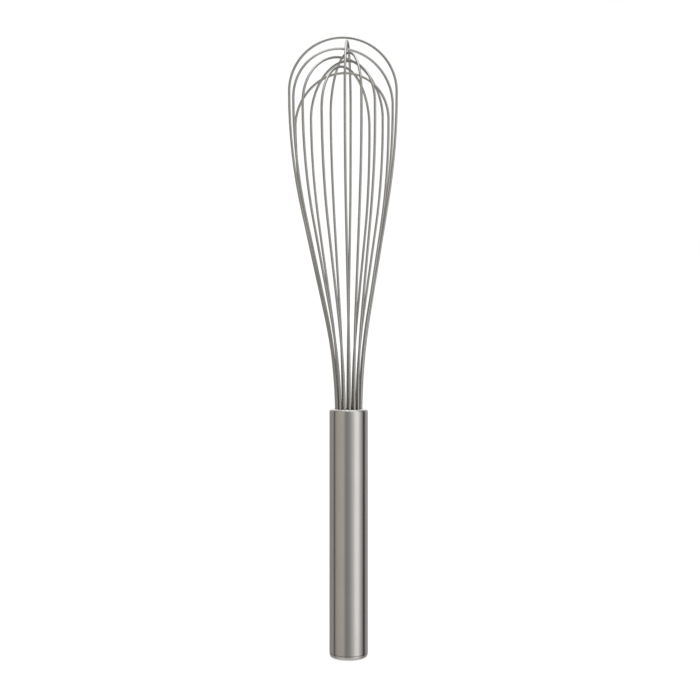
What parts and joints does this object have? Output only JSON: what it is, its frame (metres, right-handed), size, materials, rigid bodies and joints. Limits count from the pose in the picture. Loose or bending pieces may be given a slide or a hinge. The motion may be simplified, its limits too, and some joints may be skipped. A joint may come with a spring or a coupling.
{
  "type": "balloon whisk",
  "caption": "Steel balloon whisk with a straight tube handle and nested wire loops, for whipping cream, eggs and batter.",
  "frame": {"origin": "centre of the flat butt face of the handle", "axes": "+Z along the handle axis from the butt to the balloon; X across the outermost wire loop, which leans a little towards -X; Y across the second loop"},
  "size_m": [0.0542, 0.0538, 0.305],
  "materials": {
    "handle_steel": "satin",
    "wire_steel": "bright drawn wire",
    "ferrule_steel": "machined",
    "resin": "cast epoxy"
  },
  "bodies": {
    "root": {"handle_tube": "handle_steel", "end_cap": "handle_steel", "wire_ferrule": "ferrule_steel", "sealing_resin": "resin", "wire_loop_1": "wire_steel", "wire_loop_2": "wire_steel", "wire_loop_3": "wire_steel", "wire_loop_4": "wire_steel", "wire_loop_5": "wire_steel", "wire_loop_6": "wire_steel", "wire_loop_7": "wire_steel", "wire_loop_8": "wire_steel"}
  },
  "joints": []
}
